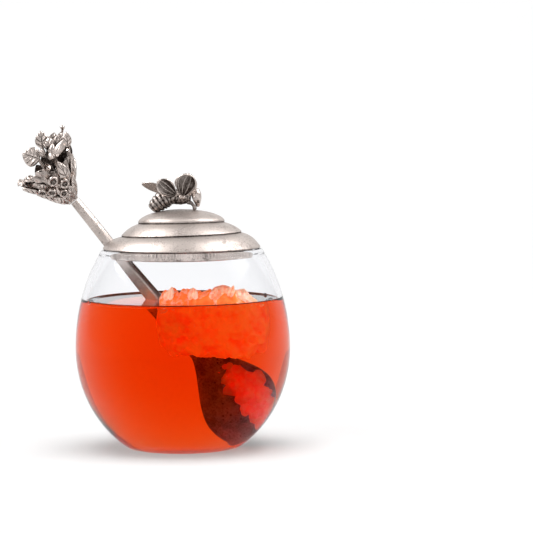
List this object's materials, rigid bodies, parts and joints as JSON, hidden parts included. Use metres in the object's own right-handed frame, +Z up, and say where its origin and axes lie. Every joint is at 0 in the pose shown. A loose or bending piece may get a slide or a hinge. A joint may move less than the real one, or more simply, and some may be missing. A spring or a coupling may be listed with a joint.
{
  "type": "honey pot",
  "caption": "Round glass honey pot with a lift-off stepped metal lid topped by a bee, and a posy-topped spoon that leans out through a notch in the lid.",
  "frame": {"origin": "centre of the bowl's flat foot, on the table and on the bowl's axis", "axes": "+Z up along the bowl's axis; the spoon leans out on the -X side; the front of the pot looks along -Y"},
  "size_m": [0.1382, 0.108, 0.1629],
  "materials": {
    "glass": "clear blown glass, fire-polished lip",
    "honey": "clear orange-red honey, stands in for a thick liquid",
    "comb": "honey-soaked wax comb",
    "pewter": "antiqued cast pewter, bright on the high places and dark in the recesses"
  },
  "bodies": {
    "pot": {"glass_bowl": "glass", "honey": "honey", "honeycomb": "comb"},
    "lid": {"lid_dome": "pewter", "lid_collar": "pewter", "bee_abdomen": "pewter", "bee_thorax": "pewter", "bee_head": "pewter", "bee_forewing_near": "pewter", "bee_hindwing_near": "pewter", "bee_forewing_far": "pewter", "bee_hindwing_far": "pewter", "bee_leg_near": "pewter", "bee_leg_far": "pewter"},
    "spoon": {"spoon": "pewter", "calyx": "pewter", "bud_1": "pewter", "bud_2": "pewter", "bud_3": "pewter", "bud_4": "pewter", "bud_5": "pewter", "leaf_left": "pewter", "leaf_top": "pewter", "leaf_right": "pewter", "leaf_curled": "pewter", "sepal_front": "pewter", "blossom": "pewter", "closed_bud": "pewter", "seed_stalk": "pewter"}
  },
  "joints": [
    {"name": "lid_lift", "type": "slide", "parent": "pot", "child": "lid", "axis": [0, 0, 1], "range_m": [0, 0.1]},
    {"name": "spoon_draw", "type": "slide", "parent": "pot", "child": "spoon", "axis": [-0.6068, 0.0265, 0.7944], "range_m": [0, 0.025], "deforming": ["honey"]}
  ]
}
